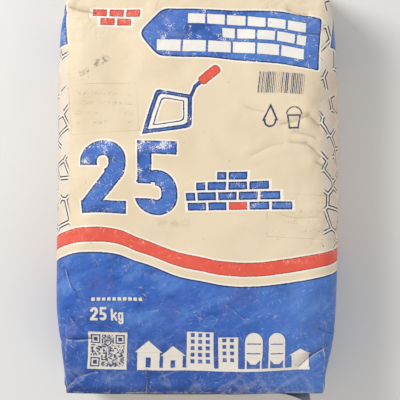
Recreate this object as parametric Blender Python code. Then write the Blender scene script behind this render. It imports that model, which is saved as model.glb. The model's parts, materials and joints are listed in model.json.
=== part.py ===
"""Filled 25 kg block-bottom valve sack of cement, lying flat on its back, front print up.

Metres, +Z up. The origin is the middle of the sack's footprint on the floor. The long
side runs along Y, with the valve end at +Y, and the front face looks up.
"""

import math

import bmesh
import bpy
import numpy as np

# Driving dimensions of the paper: a flat tube, closed at each end by a folded block bottom.
TUBE_FLAT_WIDTH = 0.400
END_FOLD_WIDTH = 0.110
FACE_FOLD_TO_FOLD = 0.500
PANEL_WIDTH = TUBE_FLAT_WIDTH - END_FOLD_WIDTH
FOLD_BACK = END_FOLD_WIDTH / 2

# The filled sack: the fill pushes the long sides out, and draws each end fold in a little.
SIDE_SWELL = 0.0185
END_HALF_WIDTH = PANEL_WIDTH / 2 + 0.0005
HALF_WIDTH = END_HALF_WIDTH + SIDE_SWELL
HALF_LENGTH = FACE_FOLD_TO_FOLD / 2 - 0.005
SIDE_SWELL_POWER = 3.8

# Heights: level where the next sack lies, lower towards the end folds, off the floor at the ends.
HEIGHT = 0.118
CROWN = 0.1194
END_TOP = 0.1115
END_FOOT = 0.0045
WIDEST_AT = 0.058
CROWN_FALLS_UNTIL = 0.200
CROWN_FALL_POWER = 1.7
FLOOR_PRESSED_OFF = 0.0060

# How square the cross-section is, in the middle of the sack and at its end folds.
SQUARENESS_MIDDLE = 4.6
SQUARENESS_END = 26.0

# The fold-back crease near each end, pressed in most beside the side panels.
FOLD_BACK_AT = FACE_FOLD_TO_FOLD / 2 - FOLD_BACK
FOLD_BACK_DEPTH = 0.0015
FOLD_BACK_WIDTH = 0.006

# Each end face, framed by the end folds, is pushed out by the fill, most in its lower half.
END_SWELL = 0.0058
END_SWELL_LOW = 0.75
FOLD_ROUND = 0.0012

# Columns of faces: shares of the way from a panel's middle to its corner, then down to mid-side.
PANEL_COLUMNS = (0.0, 0.16, 0.32, 0.48, 0.64, 0.78, 0.90)
SIDE_COLUMNS = (0.0, 0.20, 0.45, 0.72, 1.0)
STATIONS = (
    0.0, 0.030, 0.055, 0.075, 0.100, 0.125, 0.150, 0.168, 0.181, 0.189, 0.195, 0.201, 0.212, 0.224, 0.234, 0.241,
)
END_RINGS = (0.985, 0.93, 0.84, 0.70, 0.50, 0.25)
CURVE_STEPS = 400

# Paper pieces pasted on the ends.
SEAT_GAP = 0.0003
PATCH_THICK = 0.0008
PATCH_HEIGHT = 0.086
PATCH_HALF_WIDTH = 0.132
PATCH_MIDDLE = 0.056
VALVE_GAP = 0.002
VALVE_WIDTH = 0.020
VALVE_HEIGHT = 0.070
PATCH_CELL = 0.0096

CREAM = (0.82, 0.69, 0.50)
KRAFT = (0.62, 0.45, 0.28)
VALVE_PAPER = (0.86, 0.82, 0.72)


def clear_scene():
    for thing in list(bpy.data.objects):
        bpy.data.objects.remove(thing)


def paper(name, colour, roughness):
    material = bpy.data.materials.new(name)
    material.use_nodes = True
    shader = material.node_tree.nodes["Principled BSDF"]
    shader.inputs["Base Color"].default_value = (*colour, 1.0)
    shader.inputs["Roughness"].default_value = roughness
    shader.inputs["Metallic"].default_value = 0.0
    return material


def ease(t):
    t = max(0.0, min(1.0, t))
    return t * t * (3 - 2 * t)


def mix(a, b, t):
    return a + (b - a) * t


def quarter(half_width, half_height, squareness):
    """A quarter of the cross-section, from over or under the middle to the corner, then to mid-side."""
    turn = np.linspace(0.0, math.pi / 2, CURVE_STEPS + 1)
    across = half_width * np.sin(turn) ** (2 / squareness)
    up = half_height * np.cos(turn) ** (2 / squareness)
    up[-1] = 0.0
    run = np.concatenate(([0.0], np.cumsum(np.hypot(np.diff(across), np.diff(up)))))
    corner = CURVE_STEPS // 2
    panel = [share * run[corner] for share in PANEL_COLUMNS]
    side = [mix(run[corner], run[-1], share) for share in SIDE_COLUMNS]
    at = panel + side
    return list(zip(np.interp(at, run, across), np.interp(at, run, up)))


def section(distance):
    """One closed cross-section at a distance from the middle, from the front's middle all round."""
    reach = distance / HALF_LENGTH
    past_fold = ease((distance - 0.6 * HALF_LENGTH) / (0.4 * HALF_LENGTH))
    half_width = HALF_WIDTH - SIDE_SWELL * reach**SIDE_SWELL_POWER
    fall = min(1.0, distance / CROWN_FALLS_UNTIL) ** CROWN_FALL_POWER
    top = mix(CROWN, END_TOP, fall)
    foot = mix(-FLOOR_PRESSED_OFF, END_FOOT, past_fold)
    squareness = mix(SQUARENESS_MIDDLE, SQUARENESS_END, ease(2 * reach - 1) ** 2)
    upper = quarter(half_width, top - WIDEST_AT, squareness)
    lower = quarter(half_width, WIDEST_AT - foot, squareness)
    right = [(x, WIDEST_AT + z) for x, z in upper] + [(x, WIDEST_AT - z) for x, z in reversed(lower[:-1])]
    crease = FOLD_BACK_DEPTH * max(0.0, 1 - abs(distance - FOLD_BACK_AT) / FOLD_BACK_WIDTH)
    shaped = []
    for x, z in right:
        on_panel = abs(z - WIDEST_AT) > END_FOLD_WIDTH / 4
        z += math.copysign(crease * ease(2.5 * x / half_width - 1.25) * on_panel, WIDEST_AT - z)
        shaped.append((x, min(max(z, 0.0), HEIGHT)))
    left = [(-x, z) for x, z in reversed(shaped[1:-1])]
    return shaped + left


def end_swell(x, z):
    """How far the fill pushes an end face out past its folds, at a place across and up."""
    up = (z - END_FOOT) / (END_TOP - END_FOOT)
    up = min(max(up, 0.0), 1.0)
    across = min(abs(x) / END_HALF_WIDTH, 1.0)
    return END_SWELL * math.sin(math.pi * up**END_SWELL_LOW) * (1 - across**4)


def end_rings():
    """The rim of an end face and the rings inside it, as points across, along from the rim, and up."""
    rim = section(HALF_LENGTH)
    middle = (END_TOP + END_FOOT) / 2
    rings = []
    for share in END_RINGS:
        ring = [(x * share, middle + (z - middle) * share) for x, z in rim]
        rings.append([(x, HALF_LENGTH + end_swell(x, z), z) for x, z in ring])
    return rings


def filled_sack(material):
    """The sack and its fill as one closed solid, lofted through the cross-sections from end to end."""
    mesh = bmesh.new()
    rings = []
    for ring in reversed(end_rings()):
        rings.append([mesh.verts.new((x, -y, z)) for x, y, z in ring])
    whole = [-d for d in reversed(STATIONS[1:])] + list(STATIONS)
    whole = [FOLD_ROUND - HALF_LENGTH, *whole, HALF_LENGTH - FOLD_ROUND]
    for y in whole:
        rings.append([mesh.verts.new((x, y, z)) for x, z in section(abs(y))])
    for ring in end_rings():
        rings.append([mesh.verts.new(place) for place in ring])
    count = len(rings[0])
    for near, far in zip(rings, rings[1:]):
        for k in range(count):
            after = (k + 1) % count
            mesh.faces.new((near[k], near[after], far[after], far[k]))
    mesh.faces.new(rings[0])
    mesh.faces.new(list(reversed(rings[-1])))
    bmesh.ops.recalc_face_normals(mesh, faces=mesh.faces)
    return finish("filled_sack", mesh, material)


def finish(name, mesh, material):
    data = bpy.data.meshes.new(name)
    mesh.to_mesh(data)
    mesh.free()
    data.shade_smooth()
    data.set_sharp_from_angle(angle=math.radians(35))
    data.materials.append(material)
    thing = bpy.data.objects.new(name, data)
    bpy.context.scene.collection.objects.link(thing)
    return thing


def pasted_sheet(name, low_x, high_x, height, end, material):
    """A sheet of paper pasted on the end face at +Y or -Y, a gap off it and following its swell."""
    mesh = bmesh.new()
    across = round((high_x - low_x) / PATCH_CELL)
    up = round(height / PATCH_CELL)
    bmesh.ops.create_grid(mesh, x_segments=across, y_segments=up, size=0.5)
    bmesh.ops.scale(mesh, vec=(high_x - low_x, height, 1), verts=mesh.verts)
    bmesh.ops.translate(mesh, vec=((low_x + high_x) / 2, PATCH_MIDDLE, 0), verts=mesh.verts)
    bmesh.ops.solidify(mesh, geom=mesh.faces[:], thickness=PATCH_THICK)
    bmesh.ops.recalc_face_normals(mesh, faces=mesh.faces)
    back = min(vert.co.z for vert in mesh.verts)
    for vert in mesh.verts:
        x, z, off = vert.co.x, vert.co.y, vert.co.z - back
        vert.co = (x, end * (HALF_LENGTH + end_swell(x, z) + SEAT_GAP + off), z)
    if end > 0:
        bmesh.ops.reverse_faces(mesh, faces=mesh.faces)
    return finish(name, mesh, material)


clear_scene()
filled_sack(paper("sack_paper", CREAM, 0.75))
patch_paper = paper("patch_paper", KRAFT, 0.8)
valve_low = PATCH_HALF_WIDTH - VALVE_WIDTH
pasted_sheet("base_patch", -PATCH_HALF_WIDTH, PATCH_HALF_WIDTH, PATCH_HEIGHT, -1, patch_paper)
pasted_sheet("valve_end_patch", -PATCH_HALF_WIDTH, valve_low - VALVE_GAP, PATCH_HEIGHT, 1, patch_paper)
valve_paper = paper("valve_paper", VALVE_PAPER, 0.7)
pasted_sheet("valve_sleeve", valve_low, PATCH_HALF_WIDTH, VALVE_HEIGHT, 1, valve_paper)
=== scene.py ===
"""Looks of the filled cement sack: simulated paper, printed and pasted, lying flat on a pale floor."""

import json
import math

import bmesh
import bpy
import numpy as np
from mathutils import Matrix, Vector, noise
from mathutils.bvhtree import BVHTree

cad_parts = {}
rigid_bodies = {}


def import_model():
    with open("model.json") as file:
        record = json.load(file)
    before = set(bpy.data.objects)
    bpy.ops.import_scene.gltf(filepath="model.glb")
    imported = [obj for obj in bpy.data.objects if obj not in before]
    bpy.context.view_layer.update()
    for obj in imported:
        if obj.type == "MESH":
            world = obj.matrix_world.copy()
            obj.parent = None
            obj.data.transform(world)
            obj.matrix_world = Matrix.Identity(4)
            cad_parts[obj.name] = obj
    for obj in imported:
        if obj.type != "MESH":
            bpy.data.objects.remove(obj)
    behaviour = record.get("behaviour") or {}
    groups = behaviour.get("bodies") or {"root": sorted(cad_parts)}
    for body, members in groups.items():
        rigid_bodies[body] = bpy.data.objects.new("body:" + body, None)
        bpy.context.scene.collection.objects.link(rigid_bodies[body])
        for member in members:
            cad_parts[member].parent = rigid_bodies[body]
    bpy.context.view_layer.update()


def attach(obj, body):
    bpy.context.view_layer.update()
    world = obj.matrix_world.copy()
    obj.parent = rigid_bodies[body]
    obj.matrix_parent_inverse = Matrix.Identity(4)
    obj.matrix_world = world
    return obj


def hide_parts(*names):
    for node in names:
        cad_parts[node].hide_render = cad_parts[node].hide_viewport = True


for spare in list(bpy.data.objects):
    bpy.data.objects.remove(spare)
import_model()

# The paper, in metres: a flat tube with a folded block bottom at each end.
TUBE_FLAT_WIDTH = 0.400
END_FOLD_WIDTH = 0.110
PANEL_LENGTH = 0.500
PANEL_WIDTH = TUBE_FLAT_WIDTH - END_FOLD_WIDTH
FOLD_BACK = END_FOLD_WIDTH / 2

# The filling of the sack.
CELL = 0.0050
SIDE_ROUND = 0.030
FILL_VOLUME = 0.0170
FILL_DENSITY = 1.45
SETTLE_FRAMES = 32
WRINKLE_SEED = 2
END_FOLD_CREASE = 0.8

# The settled shape.
LENGTH = 0.502
CROWN_HEIGHT = 0.1165
END_TOP = 0.108
END_FOOT = 0.004
END_MIDDLE = (END_TOP + END_FOOT) / 2

# What the folds of the flat tube leave in the filled sack.
FOLD_BACK_DEPTH = 0.0020
SIDE_FOLD_RISE = 0.0012
DIAGONAL_RISE = 0.0010
SLUMP = 0.008

# Wrinkles from handling, in millimetres on the flat paper.
# Each runs from one place, across and along, to another, with its depth and its half width.
WRINKLES = (
    (102, 62, 131, 71, 1.1, 3.5),
    (131, 70, 146, 59, 1.4, 3.5),
    (117, 54, 140, 44, 1.0, 3.0),
    (110, 42, 127, 38, 0.8, 3.0),
    (127, 38, 144, 23, 1.2, 3.5),
    (66, 28, 101, 39, 0.5, 4.0),
    (57, 86, 78, 77, 0.6, 4.5),
    (141, 16, 158, 11, 1.0, 3.0),
    (100, -43, 160, -50, 0.4, 3.5),
    (-150, -108, -138, -131, 1.3, 2.6),
    (-138, -131, -135, -142, 0.9, 2.6),
    (-139, -164, -126, -181, 0.9, 2.6),
    (-152, -189, -119, -190, 1.6, 2.2),
    (-150, -247, -134, -231, 1.2, 3.5),
    (-134, -231, -112, -227, 0.9, 3.5),
    (116, -219, 152, -197, 1.7, 4.5),
    (142, -179, 158, -182, 1.1, 2.6),
    (35, -149, 56, -162, 0.7, 3.0),
    (-143, 202, -112, 191, 1.2, 2.4),
    (103, 200, 127, 193, 1.3, 2.6),
    (122, 171, 142, 166, 1.0, 2.4),
    (-54, -224, -50, -252, 1.0, 2.6),
)

# Paper sheets pasted on the ends, and the valve.
PATCH_LIFT = 0.0003
PATCH_THICK = 0.0004
PATCH_CELL = 0.004
PATCH_HEIGHT = 0.086
PATCH_HALF_WIDTH = 0.132
SLEEVE_WIDTH = 0.020
SLEEVE_HEIGHT = 0.070
SLEEVE_OPEN = 0.0030


# The paper's own place, across and along, for every corner of a face of the folded box.
def paper_place(position, normal):
    x, y, z = position
    half = END_FOLD_WIDTH / 2
    if normal.z > 0.9:
        return x, y
    if normal.z < -0.9:
        return math.copysign(TUBE_FLAT_WIDTH - abs(x), x), y
    if abs(normal.x) > 0.9:
        return math.copysign(PANEL_WIDTH / 2 + half - z, x), y
    return x, math.copysign(PANEL_LENGTH / 2 + half - z, y)


def rounded_girth(place, radius):
    """Point of the sack's cross-section, a rounded box of the tube's girth, at a place across the paper."""
    side = math.copysign(1.0, place)
    run = abs(place)
    half = END_FOLD_WIDTH / 2
    flat = (PANEL_WIDTH + (4 - math.pi) * radius) / 2 - radius
    arc = math.pi * radius / 2
    wall = END_FOLD_WIDTH - 2 * radius
    if run <= flat:
        return side * run, half
    if run <= flat + arc:
        turn = (run - flat) / radius
        return side * (flat + radius * math.sin(turn)), half - radius + radius * math.cos(turn)
    if run <= flat + arc + wall:
        return side * (flat + radius), half - radius - (run - flat - arc)
    if run <= flat + 2 * arc + wall:
        turn = (run - flat - arc - wall) / radius
        return side * (flat + radius * math.cos(turn)), radius - half - radius * math.sin(turn)
    return side * (flat - (run - flat - 2 * arc - wall)), -half


def girth_place(x, z):
    half = END_FOLD_WIDTH / 2
    if z > half - 1e-6:
        return x
    if z < 1e-6 - half:
        return math.copysign(TUBE_FLAT_WIDTH - abs(x), x)
    return math.copysign(PANEL_WIDTH / 2 + half - z, x)


def folded_paper():
    """The sack as it is folded, before the fill pushes it out, with its paper places as a UV map."""
    mesh = bmesh.new()
    bmesh.ops.create_cube(mesh, size=1.0)
    sides = (PANEL_WIDTH, PANEL_LENGTH, END_FOLD_WIDTH)
    bmesh.ops.scale(mesh, vec=sides, verts=mesh.verts)
    for axis, length in enumerate(sides):
        along = [e for e in mesh.edges if abs(e.verts[0].co[axis] - e.verts[1].co[axis]) > 1e-6]
        bmesh.ops.subdivide_edges(mesh, edges=along, cuts=round(length / CELL) - 1, use_grid_fill=True)
    bmesh.ops.recalc_face_normals(mesh, faces=mesh.faces)
    paper = mesh.loops.layers.uv.new("paper")
    for face in mesh.faces:
        middle = face.calc_center_median()
        for corner in face.loops:
            place = Vector(corner.vert.co)
            if face.normal.z < -0.9:
                place.x = math.copysign(max(abs(place.x), 1e-9), middle.x)
            corner[paper].uv = paper_place(place, face.normal)
    end = PANEL_LENGTH / 2
    crease = mesh.edges.layers.float.new("crease_edge")
    for edge in mesh.edges:
        turn = edge.link_faces[0].normal.dot(edge.link_faces[1].normal)
        if turn < 0.5 and abs(edge.verts[0].co.y) > end - 1e-6 and abs(edge.verts[1].co.y) > end - 1e-6:
            edge[crease] = END_FOLD_CREASE
    girth = mesh.verts.layers.float.new("girth")
    run = mesh.verts.layers.float.new("run")
    for vert in mesh.verts:
        x, y, z = vert.co
        on_tube = any(abs(face.normal.y) < 0.5 for face in vert.link_faces)
        vert[girth] = abs(girth_place(x, z)) if on_tube else 0.0
        vert[run] = y if on_tube else math.copysign(end + 0.010, y)
        if abs(y) < end - 1e-6:
            inward = min(1.0, (end - abs(y)) / 0.10)
            radius = max(0.0005, SIDE_ROUND * inward * inward * (3 - 2 * inward))
            x, z = rounded_girth(girth_place(x, z), radius)
        vert.co = (x, y, z + END_FOLD_WIDTH / 2 + 0.003)
    noise.seed_set(WRINKLE_SEED)
    for vert in mesh.verts:
        place = vert.co.copy()
        for lift, size, shift in ((0.00015, 0.016, 0.0), (0.0012, 0.045, 7.3), (0.005, 0.13, 3.1)):
            vert.co += noise.noise_vector((place + Vector((shift, 0, 0))) / size) * lift
    return mesh


def pressing_board(height, grip):
    bpy.ops.mesh.primitive_plane_add(size=3, location=(0, 0, height))
    board = bpy.context.object
    board.modifiers.new("pressing", "COLLISION")
    board.collision.thickness_outer = 0.001
    board.collision.cloth_friction = grip
    return board


def keep_shape(thing):
    """Puts what the modifiers make into the mesh itself, and takes the modifiers off."""
    graph = bpy.context.evaluated_depsgraph_get()
    mesh = bpy.data.meshes.new_from_object(
        thing.evaluated_get(graph), preserve_all_data_layers=True, depsgraph=graph
    )
    thing.modifiers.clear()
    thing.data = mesh


def fill_and_settle(sack):
    """Fills the folded paper to its volume and lets it settle on the floor."""
    floor = pressing_board(0.0, 40)
    filling = sack.modifiers.new("filling", "CLOTH")
    paper = filling.settings
    paper.quality = 9
    paper.mass = 0.002
    paper.air_damping = 8
    paper.tension_stiffness = 300
    paper.compression_stiffness = 300
    paper.shear_stiffness = 60
    paper.bending_model = "ANGULAR"
    paper.bending_stiffness = 3
    paper.tension_damping = 25
    paper.compression_damping = 25
    paper.shear_damping = 15
    paper.bending_damping = 1
    paper.use_pressure = True
    paper.uniform_pressure_force = 0
    paper.use_pressure_volume = True
    paper.target_volume = FILL_VOLUME
    paper.pressure_factor = 400
    paper.fluid_density = FILL_DENSITY
    filling.collision_settings.use_collision = True
    filling.collision_settings.distance_min = 0.001
    filling.collision_settings.use_self_collision = False
    scene = bpy.context.scene
    scene.gravity = (0.0, -0.51, -9.80)
    scene.frame_start = 1
    scene.frame_end = SETTLE_FRAMES
    filling.point_cache.frame_start = 1
    filling.point_cache.frame_end = SETTLE_FRAMES + 5
    frames = SETTLE_FRAMES
    for number in range(1, frames + 1):
        scene.frame_set(number)
        bpy.context.view_layer.update()
        bpy.context.evaluated_depsgraph_get()
    keep_shape(sack)
    bpy.data.objects.remove(floor)
    scene.frame_set(1)


def points_of(mesh):
    flat = np.zeros(len(mesh.vertices) * 3)
    mesh.vertices.foreach_get("co", flat)
    return flat.reshape(-1, 3)


def point_value(mesh, name):
    values = np.zeros(len(mesh.vertices))
    mesh.attributes[name].data.foreach_get("value", values)
    return values


def ease(share):
    share = np.clip(share, 0.0, 1.0)
    return share * share * (3 - 2 * share)


def moved(mesh, spots):
    mesh.vertices.foreach_set("co", spots.ravel())
    mesh.update()


def made_object(name, mesh):
    data = bpy.data.meshes.new(name)
    mesh.to_mesh(data)
    mesh.free()
    thing = bpy.data.objects.new(name, data)
    bpy.context.scene.collection.objects.link(thing)
    return thing


def level_and_crown(mesh):
    """Sets the settled sack on the floor, fuller in the middle and lower at its pasted ends."""
    spots = points_of(mesh)
    low, high = spots.min(0), spots.max(0)
    spots -= ((low[0] + high[0]) / 2, (low[1] + high[1]) / 2, low[2])
    spots[:, 1] *= LENGTH / (high[1] - low[1])
    reach = np.abs(spots[:, 1]) / (LENGTH / 2)
    to_end = ease((reach - 0.35) / 0.65)
    top = CROWN_HEIGHT * (1 - to_end) + END_TOP * to_end
    foot = END_FOOT * to_end ** 4
    middle = np.abs(spots[:, 0]) < 0.10
    tops = spots[middle & (spots[:, 2] > 0.08)]
    bins = np.clip(((tops[:, 1] / LENGTH + 0.5) * 20).astype(int), 0, 19)
    levels = np.array([np.median(tops[bins == b, 2]) for b in range(20)])
    levels = np.convolve(np.pad(levels, 2, mode="edge"), np.ones(5) / 5, mode="valid")
    here = np.interp((spots[:, 1] / LENGTH + 0.5) * 20 - 0.5, np.arange(20), levels)
    spots[:, 2] = foot + spots[:, 2] * (top - foot) / here
    moved(mesh, spots)


def subdivided(thing, levels):
    """One level of smooth cells, finer than the simulated ones, with the end folds kept crisp."""
    finer = thing.modifiers.new("finer", "SUBSURF")
    finer.levels = finer.render_levels = levels
    finer.uv_smooth = "PRESERVE_BOUNDARIES"
    keep_shape(thing)


def crease(distance, width):
    return np.exp(-np.abs(distance) / width)


def fold_memory(mesh):
    """The flat tube's folds, still in the paper: side folds, fold-back creases and the corners' diagonals."""
    spots = points_of(mesh)
    normals = np.zeros(len(spots) * 3)
    mesh.vertex_normals.foreach_get("vector", normals)
    normals = normals.reshape(-1, 3)
    girth, run = point_value(mesh, "girth"), point_value(mesh, "run")
    far = np.abs(run)
    end, side_fold = PANEL_LENGTH / 2, TUBE_FLAT_WIDTH / 2
    fold_back = end - FOLD_BACK
    on_tube = ease((end - far) / 0.004)
    near_edge = np.exp(-(((girth - 0.132) / 0.032) ** 2)) + 0.7 * np.exp(-(((girth - 0.27) / 0.03) ** 2))
    uneven = 0.7 + 0.5 * np.sin(37 * girth + 3 * np.sign(run) + 2 * np.sign(spots[:, 0]))
    slant = 0.10 * (girth - PANEL_WIDTH / 2) * (spots[:, 0] > 0)
    relief = -FOLD_BACK_DEPTH * crease(far - fold_back + slant, 0.0024) * (0.08 + near_edge * uneven)
    relief += SIDE_FOLD_RISE * crease(girth - side_fold, 0.004) * ease((fold_back + 0.006 - far) / 0.02)
    for corner in (PANEL_WIDTH / 2, PANEL_WIDTH / 2 + END_FOLD_WIDTH):
        slope = math.copysign(1.0, side_fold - corner)
        off_line = ((girth - corner) * slope - (end - far)) / math.sqrt(2)
        between = (far > fold_back) & (np.abs(girth - side_fold) < END_FOLD_WIDTH / 2 + 0.001)
        relief += np.where(between, DIAGONAL_RISE * crease(off_line, 0.003), 0.0)
    relief *= on_tube
    spots += normals * relief[:, None]
    spots[:, 2] = np.maximum(spots[:, 2], 0.0)
    moved(mesh, spots)


def hand_wrinkles(mesh):
    """The broad part of each wrinkle, as a soft valley between two low swells."""
    spots = points_of(mesh)
    normals = np.zeros(len(spots) * 3)
    mesh.vertex_normals.foreach_get("vector", normals)
    normals = normals.reshape(-1, 3)
    across = 1000 * point_value(mesh, "girth") * np.sign(spots[:, 0])
    along = 1000 * point_value(mesh, "run")
    bent_across = across + 1.6 * np.sin(along / 7)
    bent_along = along + 1.6 * np.sin(across / 8)
    depth = np.zeros(len(spots))
    for x, y, to_x, to_y, deep, half in WRINKLES:
        run_x, run_y = to_x - x, to_y - y
        share = ((bent_across - x) * run_x + (bent_along - y) * run_y) / (run_x**2 + run_y**2)
        share = np.clip(share, 0.0, 1.0)
        off = np.hypot(bent_across - x - run_x * share, bent_along - y - run_y * share)
        valley = np.exp(-((off / half) ** 2)) - 0.45 * np.exp(-(((off - 2.4 * half) / half) ** 2))
        depth += deep * valley * (0.5 + 0.5 * np.sin(math.pi * np.clip(share, 0.08, 0.92)))
    on_tube = ease((PANEL_LENGTH / 2 - np.abs(along) / 1000) / 0.004)
    spots -= normals * (0.0015 * depth * on_tube)[:, None]
    spots[:, 2] = np.maximum(spots[:, 2], 0.0)
    moved(mesh, spots)


def slumped(mesh):
    """Lets the lower part of one long side sag outwards."""
    spots = points_of(mesh)
    low = 1 - np.clip(spots[:, 2] / CROWN_HEIGHT, 0.0, 1.0) ** 1.5
    spots[:, 0] += SLUMP * ease((spots[:, 0] - 0.05) / 0.10) * low
    moved(mesh, spots)


sack = made_object("sack", folded_paper())
fill_and_settle(sack)
level_and_crown(sack.data)
subdivided(sack, 1)
fold_memory(sack.data)
hand_wrinkles(sack.data)
slumped(sack.data)
sack.data.shade_smooth()
surface = BVHTree.FromPolygons(
    [vert.co.copy() for vert in sack.data.vertices], [tuple(face.vertices) for face in sack.data.polygons]
)


def end_face(x, z, end):
    """Where the sack's end face is, along the sack, at a place across and up."""
    hit = surface.ray_cast(Vector((x, end * 0.4, z)), Vector((0, -end, 0)))[0]
    return hit.y if hit else end * LENGTH / 2


def pasted_patch(name, low_x, high_x, end, curl):
    """A sheet of paper pasted on an end face, one corner come loose and curling outwards."""
    mesh = bmesh.new()
    bmesh.ops.create_grid(mesh, x_segments=1, y_segments=1, size=0.5)
    bmesh.ops.scale(mesh, vec=(high_x - low_x, PATCH_HEIGHT, 1), verts=mesh.verts)
    bmesh.ops.bevel(
        mesh, geom=mesh.verts[:], offset=0.006, segments=4, profile=0.5, affect="VERTICES", material=-1
    )
    for axis, length in ((0, high_x - low_x), (1, PATCH_HEIGHT)):
        cuts = round(length / PATCH_CELL)
        for k in range(1, cuts):
            point, across = Vector((0, 0, 0)), Vector((0, 0, 0))
            point[axis] = length * (k / cuts - 0.5)
            across[axis] = 1
            bmesh.ops.bisect_plane(mesh, geom=mesh.verts[:] + mesh.edges[:] + mesh.faces[:], plane_co=point, plane_no=across)
    bmesh.ops.translate(mesh, vec=((low_x + high_x) / 2, END_MIDDLE, 0), verts=mesh.verts)
    paper = mesh.loops.layers.uv.new("paper")
    for face in mesh.faces:
        for corner in face.loops:
            corner[paper].uv = corner.vert.co.xy
    for vert in mesh.verts:
        x, z = vert.co.x, vert.co.y
        loose = max(0.0, 1 - (Vector((x, z)) - Vector(curl[:2])).length / curl[2])
        ripple = noise.noise(Vector((x, 0.5 * end, z)) / 0.02) * 0.00025
        y = end_face(x, z, end) + end * (PATCH_LIFT + ripple + curl[3] * loose * loose)
        vert.co = (x, y, z)
    bmesh.ops.recalc_face_normals(mesh, faces=mesh.faces)
    facing = sum(face.normal.y for face in mesh.faces)
    if facing * end < 0:
        bmesh.ops.reverse_faces(mesh, faces=mesh.faces)
    bmesh.ops.solidify(mesh, geom=mesh.faces[:], thickness=-PATCH_THICK)
    bmesh.ops.recalc_face_normals(mesh, faces=mesh.faces)
    for face in mesh.faces:
        face.material_index = int(face.normal.y * end < -0.3)
    patch = made_object(name, mesh)
    patch.data.shade_smooth()
    patch.data.set_sharp_from_angle(angle=math.radians(50))
    return patch


def sleeve(name, low_x, high_x):
    """The valve: a short flattened paper tube whose mouth, at the sack's corner, stands a little open."""
    mesh = bmesh.new()
    ring = bmesh.ops.create_circle(mesh, cap_ends=False, segments=56, radius=0.5)["verts"]
    bmesh.ops.scale(mesh, vec=(0.0010, SLEEVE_HEIGHT, 1), verts=ring)
    bmesh.ops.rotate(mesh, cent=(0, 0, 0), matrix=Matrix.Rotation(math.radians(90), 3, "X"), verts=ring)
    bmesh.ops.rotate(mesh, cent=(0, 0, 0), matrix=Matrix.Rotation(math.radians(90), 3, "Z"), verts=ring)
    bmesh.ops.translate(mesh, vec=(low_x, 0, END_MIDDLE), verts=ring)
    edges = mesh.edges[:]
    steps = 7
    for k in range(steps):
        grown = bmesh.ops.extrude_edge_only(mesh, edges=edges)["geom"]
        edges = [part for part in grown if isinstance(part, bmesh.types.BMEdge)]
        verts = [part for part in grown if isinstance(part, bmesh.types.BMVert)]
        bmesh.ops.translate(mesh, vec=((high_x - low_x) / steps, 0, 0), verts=verts)
    for vert in mesh.verts:
        open_share = ((vert.co.x - low_x) / (high_x - low_x)) ** 2
        thick = vert.co.y * (1 + SLEEVE_OPEN / 0.0010 * open_share)
        seat = end_face(vert.co.x, vert.co.z, 1)
        half = 0.0005 * (1 + SLEEVE_OPEN / 0.0010 * open_share)
        vert.co.y = seat + PATCH_LIFT + half + thick
    bmesh.ops.recalc_face_normals(mesh, faces=mesh.faces)
    bmesh.ops.solidify(mesh, geom=mesh.faces[:], thickness=PATCH_THICK)
    bmesh.ops.recalc_face_normals(mesh, faces=mesh.faces)
    paper = mesh.loops.layers.uv.new("paper")
    for face in mesh.faces:
        for corner in face.loops:
            corner[paper].uv = (corner.vert.co.x, corner.vert.co.z)
    tube = made_object(name, mesh)
    tube.data.shade_smooth()
    tube.data.set_sharp_from_angle(angle=math.radians(50))
    return tube


base_sheet = pasted_patch("base_cover", -PATCH_HALF_WIDTH, PATCH_HALF_WIDTH, -1, (0.130, 0.099, 0.036, 0.013))
valve_low = PATCH_HALF_WIDTH - SLEEVE_WIDTH
valve_sheet = pasted_patch("valve_cover", -PATCH_HALF_WIDTH, valve_low - 0.001, 1, (-0.132, 0.013, 0.020, 0.002))
valve_tube = sleeve("valve_tube", valve_low, PATCH_HALF_WIDTH)


# Node building: each value is a wire that ordinary arithmetic turns into Math nodes.
class Wire:
    def __init__(self, plan, socket):
        self.plan, self.socket = plan, socket

    def maths(self, operation, other=None, third=None):
        return self.plan.maths(operation, self, other, third)

    def __add__(self, other):
        return self.maths("ADD", other)

    def __sub__(self, other):
        return self.maths("SUBTRACT", other)

    def __mul__(self, other):
        return self.maths("MULTIPLY", other)

    def __truediv__(self, other):
        return self.maths("DIVIDE", other)

    def __radd__(self, other):
        return self.maths("ADD", other)

    def __rmul__(self, other):
        return self.maths("MULTIPLY", other)

    def __rsub__(self, other):
        return self.plan.maths("SUBTRACT", other, self)

    def __neg__(self):
        return self.maths("MULTIPLY", -1.0)

    def __abs__(self):
        return self.maths("ABSOLUTE")

    def __pow__(self, other):
        return self.maths("POWER", other)

    def held(self):
        """The same value, kept from 0 to 1."""
        return self.plan.maths("ADD", self, 0.0, clamp=True)


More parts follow.
